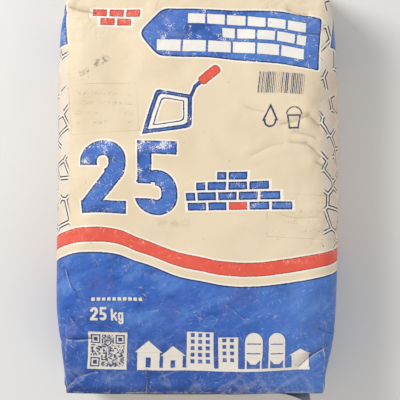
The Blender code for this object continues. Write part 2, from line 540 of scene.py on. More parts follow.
class Plan:
    """The nodes of one material or group, laid out in columns as they are added."""

    def __init__(self, tree):
        self.tree = tree
        self.count = 0

    def add(self, kind, **settings):
        node = self.tree.nodes.new(kind)
        for name, value in settings.items():
            setattr(node, name, value)
        node.location = (180 * (self.count // 12), -170 * (self.count % 12))
        self.count += 1
        return node

    def feed(self, socket, value):
        if isinstance(value, Wire):
            self.tree.links.new(value.socket, socket)
        elif value is not None:
            socket.default_value = value

    def maths(self, operation, *values, clamp=False):
        node = self.add("ShaderNodeMath", operation=operation, use_clamp=clamp)
        for socket, value in zip(node.inputs, values):
            self.feed(socket, value)
        return Wire(self, node.outputs[0])

    def vector(self, x, y, z=0.0):
        node = self.add("ShaderNodeCombineXYZ")
        for socket, value in zip(node.inputs, (x, y, z)):
            self.feed(socket, value)
        return Wire(self, node.outputs[0])

    def split(self, vector):
        node = self.add("ShaderNodeSeparateXYZ")
        self.feed(node.inputs[0], vector)
        return [Wire(self, socket) for socket in node.outputs]

    def mixed(self, share, one, other):
        node = self.add("ShaderNodeMix", data_type="RGBA")
        self.feed(node.inputs["Factor"], share)
        for socket, value in ((node.inputs[6], one), (node.inputs[7], other)):
            self.feed(socket, value if isinstance(value, Wire) else (*value, 1.0))
        return Wire(self, node.outputs[2])

    def stepped(self, value, low, high, out_low=0.0, out_high=1.0):
        """Eases from one number to another while the value goes from low to high."""
        node = self.add("ShaderNodeMapRange", interpolation_type="SMOOTHSTEP")
        for socket, number in zip(node.inputs, (value, low, high, out_low, out_high)):
            self.feed(socket, number)
        return Wire(self, node.outputs[0])

    def turned(self, vector, degrees, squeeze=1.0, shift=0.0):
        """Turns a place back by an angle, so that what is drawn there runs along it, and is drawn out."""
        node = self.add("ShaderNodeMapping", vector_type="TEXTURE")
        node.inputs["Location"].default_value = (shift, 0.6 * shift, 0.0)
        node.inputs["Rotation"].default_value = (0.0, 0.0, math.radians(degrees))
        node.inputs["Scale"].default_value = (squeeze, 1.0, 1.0)
        self.feed(node.inputs["Vector"], vector)
        return Wire(self, node.outputs[0])

    def cloudy(self, vector, scale, detail=2.0, roughness=0.5, distortion=0.0):
        node = self.add("ShaderNodeTexNoise", noise_dimensions="2D")
        self.feed(node.inputs["Vector"], vector)
        for name, number in (("Scale", scale), ("Detail", detail), ("Roughness", roughness)):
            self.feed(node.inputs[name], number)
        node.inputs["Distortion"].default_value = distortion
        return Wire(self, node.outputs["Fac"])

    def placed(self, group, **values):
        """Puts a node group here, and returns its outputs by name."""
        node = self.add("ShaderNodeGroup", node_tree=group)
        for name, value in values.items():
            self.feed(node.inputs[name.replace("_", " ")], value)
        return {socket.name: Wire(self, socket) for socket in node.outputs}

    def smallest(self, *wires):
        found = wires[0]
        for wire in wires[1:]:
            found = found.maths("MINIMUM", wire)
        return found

    def largest(self, *wires):
        found = wires[0]
        for wire in wires[1:]:
            found = found.maths("MAXIMUM", wire)
        return found


def group_of(name, inputs, outputs):
    """An empty node group with named sockets, its plan, and its inputs as wires."""
    group = bpy.data.node_groups.new(name, "ShaderNodeTree")
    for label, kind, number in inputs:
        socket = group.interface.new_socket(label, in_out="INPUT", socket_type=kind)
        if number is not None:
            socket.default_value = number
    for label, kind in outputs:
        group.interface.new_socket(label, in_out="OUTPUT", socket_type=kind)
    plan = Plan(group)
    entry = plan.add("NodeGroupInput")
    return group, plan, [Wire(plan, socket) for socket in entry.outputs[: len(inputs)]]


def closed(plan, *wires):
    leave = plan.add("NodeGroupOutput")
    for socket, wire in zip(leave.inputs, wires):
        plan.feed(socket, wire)


NUMBER, VECTOR, COLOUR = "NodeSocketFloat", "NodeSocketVector", "NodeSocketColor"


def box_mark():
    """Distance to the edge of a rounded box that is turned about its middle; negative inside."""
    group, plan, (across, along, cx, cy, half_w, half_h, corner, turn) = group_of(
        "Box Mark",
        [
            ("Across", NUMBER, 0.0),
            ("Along", NUMBER, 0.0),
            ("Centre Across", NUMBER, 0.0),
            ("Centre Along", NUMBER, 0.0),
            ("Half Width", NUMBER, 1.0),
            ("Half Height", NUMBER, 1.0),
            ("Corner", NUMBER, 0.0),
            ("Turn", NUMBER, 0.0),
        ],
        [("Distance", NUMBER)],
    )
    x, y = across - cx, along - cy
    cosine, sine = turn.maths("COSINE"), turn.maths("SINE")
    beside = abs(x * cosine + y * sine) - half_w + corner
    above = abs(y * cosine - x * sine) - half_h + corner
    outside = plan.vector(beside.maths("MAXIMUM", 0.0), above.maths("MAXIMUM", 0.0))
    length = plan.add("ShaderNodeVectorMath", operation="LENGTH")
    plan.feed(length.inputs[0], outside)
    inside = plan.largest(beside, above).maths("MINIMUM", 0.0)
    closed(plan, Wire(plan, length.outputs["Value"]) + inside - corner)
    return group


def stroke_mark():
    """Distance to the edge of a straight stroke with round ends; negative inside."""
    group, plan, (across, along, ax, ay, bx, by, half) = group_of(
        "Stroke Mark",
        [
            ("Across", NUMBER, 0.0),
            ("Along", NUMBER, 0.0),
            ("From Across", NUMBER, 0.0),
            ("From Along", NUMBER, 0.0),
            ("To Across", NUMBER, 1.0),
            ("To Along", NUMBER, 1.0),
            ("Half Thickness", NUMBER, 0.1),
        ],
        [("Distance", NUMBER)],
    )
    px, py, rx, ry = across - ax, along - ay, bx - ax, by - ay
    share = ((px * rx + py * ry) / (rx * rx + ry * ry)).held()
    dx, dy = px - rx * share, py - ry * share
    closed(plan, (dx * dx + dy * dy).maths("SQRT") - half)
    return group


BOX, STROKE = box_mark(), stroke_mark()


class Sheet:
    """Draws on flat paper: distances to the edges of shapes, from places across and along."""

    def __init__(self, plan, across, along):
        self.plan, self.across, self.along = plan, across, along

    def box(self, x, y, half_width, half_height, corner=0.0, turn=0.0):
        return self.plan.placed(
            BOX,
            Across=self.across,
            Along=self.along,
            Centre_Across=x,
            Centre_Along=y,
            Half_Width=half_width,
            Half_Height=half_height,
            Corner=corner,
            Turn=math.radians(turn),
        )["Distance"]

    def stroke(self, x, y, to_x, to_y, half):
        return self.plan.placed(
            STROKE,
            Across=self.across,
            Along=self.along,
            From_Across=x,
            From_Along=y,
            To_Across=to_x,
            To_Along=to_y,
            Half_Thickness=half,
        )["Distance"]

    def disc(self, x, y, radius):
        dx, dy = self.across - x, self.along - y
        return (dx * dx + dy * dy).maths("SQRT") - radius

    def beyond(self, x, y, degrees):
        """Distance past a straight line through a place, positive on the side that it faces."""
        turn = math.radians(degrees)
        return (self.across - x) * math.cos(turn) + (self.along - y) * math.sin(turn)

    def moved(self, x, y, size=1.0):
        return Sheet(self.plan, (self.across - x) * (1 / size), (self.along - y) * (1 / size))


def twenty_five():
    """The plain number 25 in a heavy narrow face, one unit tall, from its lower left corner."""
    group, plan, (across, along) = group_of(
        "Number 25", [("Across", NUMBER, 0.0), ("Along", NUMBER, 0.0)], [("Distance", NUMBER)]
    )
    pen = Sheet(plan, across, along)
    half = 0.105
    hook = plan.largest(
        abs(pen.box(0.28, 0.700, 0.175, 0.195, 0.175)) - half,
        -plan.largest(across - 0.30, along - 0.66),
        0.53 - along,
    )
    two = plan.smallest(hook, pen.stroke(0.440, 0.585, 0.115, 0.130, half), pen.box(0.28, 0.09, 0.28, 0.09))
    two = plan.largest(two, -along)
    bowl = plan.largest(
        abs(pen.box(0.94, 0.305, 0.175, 0.200, 0.175)) - half,
        -plan.largest(across - 0.93, abs(along - 0.33) - 0.11),
    )
    five = plan.smallest(bowl, pen.box(0.95, 0.91, 0.25, 0.09), pen.box(0.79, 0.71, 0.09, 0.29))
    closed(plan, plan.smallest(two, five))
    return group


def unit_of_mass():
    """The unit kg in the same face, one unit tall, from its lower left corner."""
    group, plan, (across, along) = group_of(
        "Unit kg", [("Across", NUMBER, 0.0), ("Along", NUMBER, 0.0)], [("Distance", NUMBER)]
    )
    pen = Sheet(plan, across, along)
    half = 0.085
    k = plan.smallest(
        pen.box(0.09, 0.50, 0.09, 0.50),
        pen.stroke(0.16, 0.36, 0.46, 0.66, half),
        pen.stroke(0.24, 0.40, 0.48, 0.06, half),
    )
    ring = abs(pen.box(0.86, 0.36, 0.150, 0.275, 0.150)) - half
    stem = pen.box(1.01, 0.25, half, 0.46)
    tail = plan.largest(abs(pen.box(0.86, -0.06, 0.150, 0.150, 0.150)) - half, along + 0.02)
    closed(plan, plan.smallest(k, ring, stem, tail))
    return group


def paper_grain():
    """Fibre, slight cloudiness and hand creases of sack paper, for every paper of the sack."""
    group, plan, (place, amount) = group_of(
        "Paper Grain",
        [("Place", VECTOR, None), ("Crumple", NUMBER, 1.0)],
        [("Height", NUMBER), ("Cloud", NUMBER), ("Ridges", NUMBER)],
    )
    fibre = plan.cloudy(plan.turned(place, 90, 2.8), 900, 3, 0.6)
    cloud = plan.cloudy(place, 14, 4, 0.55)
    bent = plan.add("ShaderNodeVectorMath", operation="MULTIPLY_ADD")
    drift = plan.add("ShaderNodeTexNoise", noise_dimensions="2D")
    drift.inputs["Scale"].default_value = 22
    plan.feed(drift.inputs["Vector"], place)
    plan.tree.links.new(drift.outputs["Color"], bent.inputs[0])
    bent.inputs[1].default_value = (0.022, 0.022, 0.022)
    plan.feed(bent.inputs[2], place)
    bent = Wire(plan, bent.outputs[0])
    somewhere = plan.stepped(plan.cloudy(place, 9, 2), 0.42, 0.66)
    ridges = facets = None
    for degrees, squeeze, scale, weight, slope in ((35, 1.7, 27, 0.8, 2.6), (-40, 1.5, 66, 0.5, 1.0)):
        cells = plan.add("ShaderNodeTexVoronoi", feature="DISTANCE_TO_EDGE", voronoi_dimensions="2D")
        cells.inputs["Scale"].default_value = scale
        plan.feed(cells.inputs["Vector"], plan.turned(bent, degrees, squeeze))
        inside = Wire(plan, cells.outputs["Distance"])
        line = plan.stepped(inside, 0.0, 0.08, weight, 0.0)
        facet = inside * slope
        ridges = line if ridges is None else ridges + line
        facets = facet if facets is None else facets + facet
    ridges = ridges * somewhere
    facets = facets * (0.25 + 0.75 * somewhere)
    for degrees, squeeze in ((25, 2.6), (-50, 2.2)):
        folds = plan.cloudy(plan.turned(bent, degrees, squeeze), 42, 1)
        ridges = ridges + plan.stepped(abs(folds - 0.5), 0.0, 0.045, 0.75, 0.0) * plan.stepped(
            plan.cloudy(plan.turned(place, 0, 1.0, 0.37), 16, 1), 0.50, 0.64
        )
    soft = plan.cloudy(plan.turned(place, 30, 1.8), 34, 3, 0.5)
    height = fibre * 0.08 + (soft * 0.7 - ridges * 0.20 - facets) * amount + cloud * 0.35
    closed(plan, height, cloud, ridges.held())
    return group


def cement_dust():
    """Pale grey powder: a thin veil in patches, with scattered grains."""
    group, plan, (place, amount) = group_of(
        "Cement Dust",
        [("Place", VECTOR, None), ("Amount", NUMBER, 0.3)],
        [("Cover", NUMBER)],
    )
    veil = plan.stepped(plan.cloudy(place, 11, 5, 0.62), 0.44, 0.80)
    fine = plan.stepped(plan.cloudy(place, 320, 3, 0.7), 0.48, 0.72)
    cover = veil * fine * 0.5
    for scale, share in ((210, 0.90), (390, 0.84)):
        grains = plan.add("ShaderNodeTexVoronoi", feature="F1", voronoi_dimensions="2D")
        grains.inputs["Scale"].default_value = scale
        plan.feed(grains.inputs["Vector"], place)
        chance = plan.add("ShaderNodeTexWhiteNoise", noise_dimensions="3D")
        plan.tree.links.new(grains.outputs["Position"], chance.inputs["Vector"])
        picked = plan.stepped(Wire(plan, chance.outputs["Value"]), share, share + 0.03)
        dots = plan.stepped(Wire(plan, grains.outputs["Distance"]), 0.10, 0.32, 1.0, 0.0) * picked
        cover = cover + dots * (0.12 + 0.7 * veil)
    closed(plan, (cover * amount).held())
    return group


def scratch_marks():
    """Thin pale scratches in a few directions, where the ink was rubbed off the paper."""
    group, plan, (place, amount) = group_of(
        "Scratches",
        [("Place", VECTOR, None), ("Amount", NUMBER, 0.5)],
        [("Cover", NUMBER)],
    )
    found = None
    for degrees, scale in ((-24, 520), (17, 600), (71, 560), (112, 640)):
        bent = plan.turned(place, degrees, 5.0)
        line = plan.stepped(plan.cloudy(bent, scale, 0), 0.72, 0.82)
        where = plan.stepped(plan.cloudy(plan.turned(place, 0, 1.0, degrees * 0.013), 33, 3, 0.6), 0.54, 0.70)
        part = line * where
        found = part if found is None else found.maths("MAXIMUM", part)
    closed(plan, (found * amount).held())
    return group


def wrinkle_lines():
    """The sharp part of each wrinkle: how deep the paper is bent there, a thin painted shadow line along the bend,
    and a painted highlight on the lip on one side of it.
    """
    group, plan, (across, along) = group_of(
        "Wrinkle Lines",
        [("Across", NUMBER, 0.0), ("Along", NUMBER, 0.0)],
        [("Depth", NUMBER), ("Line", NUMBER), ("Painted Highlight", NUMBER)],
    )
    bent_across = across + (along * (1 / 7)).maths("SINE") * 1.6
    bent_along = along + (across * (1 / 8)).maths("SINE") * 1.6
    sheet = Sheet(plan, bent_across, bent_along)
    depth = line = highlights = None
    for x, y, to_x, to_y, deep, half in WRINKLES:
        off = sheet.stroke(x, y, to_x, to_y, 0.0)
        below = sheet.beyond(x, y, math.degrees(math.atan2(to_y - y, to_x - x)) - 90)
        valley = plan.stepped(off, 0.0, half, 0.6 * deep, 0.0)
        # Painted shadow along the bottom of the bend.
        valley_shadow = plan.stepped(off, 0.2, 1.3, min(deep, 1.3) / 1.3, 0.0)
        # Painted highlight on the lip beside the bend, on one side only.
        bright = plan.stepped(abs(off - 1.8), 0.1, 1.0, min(deep, 1.3) / 1.3, 0.0) * plan.stepped(below, 0.6, 1.4)
        depth = valley if depth is None else depth + valley
        line = valley_shadow if line is None else line.maths("MAXIMUM", valley_shadow)
        highlights = bright if highlights is None else highlights.maths("MAXIMUM", bright)
    closed(plan, depth, line, highlights)
    return group


GRAIN, DUST, SCRATCHES, BENDS = paper_grain(), cement_dust(), scratch_marks(), wrinkle_lines()
NUMBER_25, UNIT_KG = twenty_five(), unit_of_mass()

# Inks and papers.
WHITE_PAPER = (0.90, 0.87, 0.81)
AGED_PAPER = (0.80, 0.74, 0.66)
HALO = (0.95, 0.92, 0.87)
CREAM = (0.82, 0.69, 0.495)
CREAM_DEEP = (0.70, 0.56, 0.38)
SIDE_PAPER = (0.80, 0.73, 0.64)
BLUE = (0.036, 0.130, 0.500)
BLUE_LIGHT = (0.105, 0.250, 0.640)
BLUE_DEEP = (0.014, 0.062, 0.290)
BLUE_VIOLET = (0.105, 0.140, 0.480)
LABEL_BLUE = (0.055, 0.165, 0.550)
RED = (0.80, 0.105, 0.065)
EDGE_BLUE = (0.013, 0.026, 0.100)
EDGE_RED = (0.34, 0.055, 0.035)
DARK_BROWN = (0.060, 0.032, 0.028)
NIGHT_BLUE = (0.035, 0.050, 0.135)
# Brown grey for dirt, for stamp ink and for the painted shadow line in creases.
GRIME_AND_SHADE = (0.30, 0.25, 0.18)
CEMENT_GREY = (0.62, 0.60, 0.56)
KRAFT = (0.64, 0.47, 0.305)
KRAFT_DEEP = (0.52, 0.355, 0.205)
INSIDE_PAPER = (0.86, 0.80, 0.70)
INSIDE_DEEP = (0.76, 0.67, 0.54)
VALVE_PAPER = (0.80, 0.75, 0.66)
VALVE_DEEP = (0.68, 0.60, 0.48)
INK_EDGE = 0.45


def finish_of(name):
    """A new material, its plan and its shader."""
    material = bpy.data.materials.new(name)
    material.use_nodes = True
    material.node_tree.nodes.clear()
    plan = Plan(material.node_tree)
    leave = plan.add("ShaderNodeOutputMaterial")
    shader = plan.add("ShaderNodeBsdfPrincipled")
    plan.tree.links.new(shader.outputs[0], leave.inputs["Surface"])
    return material, plan, shader


def relief(plan, shader, height, strength, distance):
    bump = plan.add("ShaderNodeBump")
    bump.inputs["Strength"].default_value = strength
    bump.inputs["Distance"].default_value = distance
    plan.feed(bump.inputs["Height"], height)
    plan.tree.links.new(bump.outputs[0], shader.inputs["Normal"])


def covered(distance, soft=INK_EDGE):
    """How much of the paper a shape covers, from the distance to its edge."""
    return (0.5 - distance * (1 / soft)).held()


def wave_edge(plan, across):
    """The height of the blue field's edge at a place across, all round the sack, in millimetres."""
    node = plan.add("ShaderNodeFloatCurve")
    curve = node.mapping.curves[0]
    low, span = -180.0, 160.0
    places = WAVE_PLACES
    curve.points[0].location = ((places[0][0] + 400) / 800, (places[0][1] - low) / span)
    curve.points[1].location = ((places[-1][0] + 400) / 800, (places[-1][1] - low) / span)
    for x, y in places[1:-1]:
        curve.points.new((x + 400) / 800, (y - low) / span)
    node.mapping.update()
    plan.feed(node.inputs["Value"], (across + 400.0) * (1 / 800))
    return Wire(plan, node.outputs[0]) * span + low


WAVE_PLACES = [
    (-400, -98),
    (-330, -122),
    (-255, -120),
    (-200, -106),
    (-150, -91),
    (-127, -87),
    (-100, -88),
    (-63, -99),
    (-19, -115),
    (6, -121),
    (36, -126),
    (66, -127),
    (95, -124),
    (125, -119),
    (163, -112),
    (210, -98),
    (255, -88),
    (330, -84),
    (400, -98),
]


# The print, in millimetres across and along the flat front panel from its middle.
def brick_row(sheet, low, high, middle, half, pitch, start=0.0, joint=2.6):
    """A course of bricks between two places across, each a pitch long less its joint."""
    plan = sheet.plan
    share = ((sheet.across - (low + start)) * (1 / pitch)).maths("FRACT")
    brick = abs(share - 0.5) * pitch - (pitch - joint) / 2
    ends = abs(sheet.across - (low + high) / 2) - (high - low) / 2
    return plan.largest(brick, abs(sheet.along - middle) - half, ends)


def label_panel():
    """The blue panel at the top, with its point to the left, and courses of white bricks in it."""
    group, plan, (across, along) = group_of(
        "Label Panel",
        [("Across", NUMBER, 0.0), ("Along", NUMBER, 0.0)],
        [("Panel", NUMBER), ("Bricks", NUMBER)],
    )
    sheet = Sheet(plan, across, along)
    top_droop = ((across - 60.0) * (1 / 82)).maths("MAXIMUM", 0.0) ** 2.0 * 13.0
    foot_droop = ((across - 10.0) * (1 / 132)).maths("MAXIMUM", 0.0) ** 1.3 * 18.0
    tip = plan.maths("SMOOTH_MAX", sheet.beyond(-42.0, 143.5, 220.0), sheet.beyond(-48.5, 189.5, 138.3), 16.0)
    body = plan.maths("SMOOTH_MAX", along + top_droop - 199.5, 144.0 - foot_droop - along, 1.0)
    body = plan.maths("SMOOTH_MAX", body, across - 142.5, 4.0)
    panel = plan.maths("SMOOTH_MAX", tip, body, 9.0)
    level = Sheet(plan, across, along + ((across - 35.0) * (1 / 107)).maths("MAXIMUM", 0.0) ** 1.5 * 15.0)
    bricks = plan.smallest(
        brick_row(level, -12, 126, 188.5, 5.5, 23),
        brick_row(level, 30, 126, 173.5, 5.5, 23, 11.5 - 42),
        brick_row(level, -45, 126, 157.0, 6.5, 28.5),
    )
    closed(plan, panel, bricks)
    return group


def trowel_and_wall():
    """A mason's trowel, drawn in outline with a solid handle, above a stepped wall of bricks."""
    group, plan, (across, along) = group_of(
        "Trowel And Wall",
        [("Across", NUMBER, 0.0), ("Along", NUMBER, 0.0)],
        [("Blue", NUMBER), ("Red", NUMBER)],
    )
    turn, size = math.radians(41), 0.88
    x = ((across + 60.0) * math.cos(turn) + (along - 50.0) * math.sin(turn)) * (1 / size)
    y = ((along - 50.0) * math.cos(turn) - (across + 60.0) * math.sin(turn)) * (1 / size)
    tool = Sheet(plan, x, y)
    blade = plan.maths("SMOOTH_MAX", abs(y) * 0.86 - x * 0.52, abs(y) * 0.66 + x * 0.75 - 64.0, 9.0)
    outline = abs(blade + 2.8) - 2.8
    inner = abs(blade + 10.5) - 0.8
    neck = plan.smallest(tool.stroke(84.0, 0.0, 96.0, 6.5, 2.2), tool.stroke(96.0, 6.5, 104.0, 6.5, 2.6))
    handle = tool.box(120.0, 6.5, 16.0, 6.4, 5.0)
    wall = Sheet(plan, across, along)
    bricks = plan.smallest(
        brick_row(wall, -8, 112, -32.0, 4.6, 24),
        brick_row(wall, -8, 100, -20.5, 4.6, 24, 12 - 24),
        brick_row(wall, 4, 88, -9.0, 4.6, 24, -12),
        brick_row(wall, 28, 64, 2.5, 4.6, 24, -12),
    )
    red_brick = wall.box(52.0, -32.0, 10.9, 4.9)
    bricks = plan.largest(bricks, -red_brick)
    blue = plan.smallest(plan.smallest(outline, inner, neck) * size, bricks)
    closed(plan, blue, plan.smallest(handle * size, red_brick + 0.3))
    return group


def skyline():
    """A white row of roofs, a block with windows and two silos, in the lower blue field."""
    group, plan, (across, along) = group_of(
        "Skyline", [("Across", NUMBER, 0.0), ("Along", NUMBER, 0.0)], [("Distance", NUMBER)]
    )
    sheet = Sheet(plan, across, along)

    def house(x, half, eaves, ridge):
        slope = (ridge - eaves) / (half + 3)
        roof = (along - ridge + abs(across - x) * slope) * 0.82
        return plan.smallest(
            plan.largest(roof, eaves - along),
            plan.largest(abs(across - x) - half, along - eaves, -221.0 - along),
        )

    def windows(x, y, columns, rows, pitch_x, pitch_y, half_x, half_y):
        fx = abs(((across - x) * (1 / pitch_x)).maths("FRACT") - 0.5) * pitch_x - half_x
        fy = abs(((along - y) * (1 / pitch_y)).maths("FRACT") - 0.5) * pitch_y - half_y
        wide, tall = columns * pitch_x / 2, rows * pitch_y / 2
        return plan.largest(fx, fy, sheet.box(x + wide, y + tall, wide, tall))

    def silo(x):
        dome = plan.largest(sheet.disc(x, -190.0, 9.6), -190.0 - along)
        body = sheet.box(x, -199.0, 9.6, 9.5)
        hopper = plan.largest(abs(across - x) - 9.6 - (along + 208.5) * 0.9, abs(along + 212.2) - 3.7)
        legs = abs(abs(across - x) - 8.4) - 1.0
        legs = plan.largest(legs, abs(along + 214.5) - 6.5)
        bands = plan.largest(abs(abs(along + 198.5) - 5.5) - 0.6, abs(across - x) - 7.5)
        return plan.largest(plan.smallest(dome, body, hopper, legs), -bands)

    homes = plan.smallest(house(-52.0, 13.0, -203.0, -189.0), house(-24.0, 11.0, -207.0, -195.0))
    doors = plan.smallest(sheet.box(-52.0, -215.0, 3.0, 6.0), sheet.box(-24.0, -216.5, 2.6, 4.5))
    block = sheet.box(6.0, -200.0, 15.0, 21.0)
    tower = sheet.box(37.0, -203.0, 11.0, 18.0)
    ground = sheet.box(32.0, -222.2, 97.0, 1.6)
    hall = house(118.0, 10.0, -206.0, -199.0)
    panes = plan.smallest(
        windows(-6.5, -217.0, 3, 5, 8.5, 7.6, 2.2, 2.3), windows(28.5, -215.0, 2, 4, 8.5, 7.6, 2.2, 2.1)
    )
    solid = plan.smallest(homes, block, tower, hall)
    solid = plan.largest(solid, -plan.smallest(doors, panes))
    closed(plan, plan.smallest(solid, silo(65.0), silo(91.0), ground))
    return group


def square_code():
    """A square of random dark modules that stand for nothing, with three framed corners."""
    group, plan, (across, along) = group_of(
        "Square Code", [("Across", NUMBER, 0.0), ("Along", NUMBER, 0.0)], [("Ground", NUMBER), ("Dark", NUMBER)]
    )
    module, count = 1.50, 25
    middle_across, middle_along, half = -99.0, -201.5, 0.5 * module * count
    sheet = Sheet(plan, across, along)
    ground = sheet.box(middle_across, middle_along, half + 2.8, half + 2.8, 0.5)
    column = ((across - middle_across + half) * (1 / module)).maths("FLOOR")
    row = ((along - middle_along + half) * (1 / module)).maths("FLOOR")
    chance = plan.add("ShaderNodeTexWhiteNoise", noise_dimensions="2D")
    plan.feed(chance.inputs["Vector"], plan.vector(column + 0.5, row + 0.5))
    whole = sheet.box(middle_across, middle_along, half, half)
    field = plan.largest(Wire(plan, chance.outputs["Value"]) - 0.52, whole)
    frame_half = 3.5 * module
    for x, y in ((-1, 1), (1, 1), (-1, -1)):
        shift = half - frame_half
        corner = sheet.box(middle_across + x * shift, middle_along + y * shift, frame_half, frame_half)
        clear = corner - module
        frame_mark = plan.largest(corner, -(corner + module))
        centre = corner + 2 * module
        field = plan.smallest(plan.largest(field, -clear), frame_mark, centre)
    closed(plan, ground, field)
    return group


def handling_marks():
    """Plain dark bars, a drop and a bucket at the upper right."""
    group, plan, (across, along) = group_of(
        "Handling Marks", [("Across", NUMBER, 0.0), ("Along", NUMBER, 0.0)], [("Distance", NUMBER)]
    )
    turn = math.radians(-5)
    x = (across - 99.0) * math.cos(turn) + (along - 111.0) * math.sin(turn)
    y = (along - 111.0) * math.cos(turn) - (across - 99.0) * math.sin(turn)
    wide = plan.add("ShaderNodeTexWhiteNoise", noise_dimensions="1D")
    pitch = 2.1
    cell = (x * (1 / pitch)).maths("FLOOR")
    plan.feed(wide.inputs["W"], cell)
    bars = abs(x - (cell + 0.5) * pitch) - 0.15 - 0.65 * Wire(plan, wide.outputs["Value"])
    bars = plan.largest(bars, Sheet(plan, x, y).box(0.0, 0.0, 27.3, 12.5))
    sheet = Sheet(plan, across, along)
    drop = plan.smallest(sheet.disc(87.0, 66.0, 7.6), plan.largest(abs(across - 87.0) * 0.9 + (along - 87.0) * 0.43, 66.0 - along))
    drop = abs(drop + 1.1) - 1.1
    pail = plan.largest(abs(across - 115.0) - 7.0 - (along - 64.0) * 0.16, abs(along - 64.5) - 8.5)
    hoop = plan.largest(abs(sheet.disc(115.0, 73.0, 8.8)) - 0.8, 73.0 - along)
    closed(plan, plan.smallest(bars, drop, abs(pail + 1.0) - 1.0, hoop))
    return group


def side_lattice():
    """Double dark-brown lines in a net of uneven cells, printed on the side and back panels."""
    group, plan, (place, across) = group_of(
        "Side Lattice",
        [("Place", VECTOR, None), ("Across", NUMBER, 0.0)],
        [("Lines", NUMBER), ("Pale", NUMBER), ("Tint", NUMBER)],
    )
    cells = plan.add("ShaderNodeTexVoronoi", feature="DISTANCE_TO_EDGE", voronoi_dimensions="2D")
    cells.inputs["Scale"].default_value = 41
    cells.inputs["Randomness"].default_value = 0.68
    plan.feed(cells.inputs["Vector"], plan.turned(place, 27))
    away = Wire(plan, cells.outputs["Distance"]) * (1000 / 41)
    drawn = plan.stepped(plan.cloudy(place, 36, 1), 0.40, 0.46)
    pair = plan.stepped(abs(away - 1.9), 0.65, 1.10, 1.0, 0.0) * drawn
    pale = plan.stepped(away, 3.2, 3.9, 1.0, 0.0) * drawn
    dots = plan.add("ShaderNodeTexVoronoi", feature="F1", voronoi_dimensions="2D")
    dots.inputs["Scale"].default_value = 520
    dots.inputs["Randomness"].default_value = 0.0
    plan.feed(dots.inputs["Vector"], plan.turned(place, 35))
    round_dots = plan.stepped(Wire(plan, dots.outputs["Distance"]), 0.30, 0.46, 1.0, 0.0)
    fade = plan.stepped(across, 150.0, 172.0) * plan.stepped(away, 3.0, 5.5)
    closed(plan, pair, pale, round_dots * fade)
    return group


def stamped_frames():
    """Two faint stamped frames with rows of worn specks in them, where a date would be stamped."""
    group, plan, (place, across, along) = group_of(
        "Stamped Frames",
        [("Place", VECTOR, None), ("Across", NUMBER, 0.0), ("Along", NUMBER, 0.0)],
        [("Ink", NUMBER)],
    )
    sheet = Sheet(plan, across, along)
    fresh = plan.stepped(plan.cloudy(place, 26, 2), 0.40, 0.62)
    specks = plan.stepped(plan.cloudy(plan.turned(place, 0, 1.6), 620, 1), 0.55, 0.64)
    found = None
    for x, y, half_width, half_height, turn in ((-103.5, 80.0, 39.5, 28.0, 3.5), (124.0, -45.0, 40.0, 25.0, -3.0)):
        whole = sheet.box(x, y, half_width, half_height, 0.5, turn)
        frame_line = covered(abs(whole) - 0.30, 0.5) * (0.25 + 0.75 * fresh)
        rows = abs(((along - y) * (1 / 11)).maths("FRACT") - 0.5) * 11.0 - 2.0
        text_rows = covered(plan.largest(rows, whole + 6.0), 1.5) * specks * plan.stepped(
            plan.cloudy(place, 60, 0), 0.45, 0.56
        )
        part = frame_line + text_rows * 0.8
        found = part if found is None else found + part
    closed(plan, found.held())
    return group


LABEL, TOOLS, ROOFS, CODE = label_panel(), trowel_and_wall(), skyline(), square_code()
MARKS, LATTICE, STAMPS = handling_marks(), side_lattice(), stamped_frames()


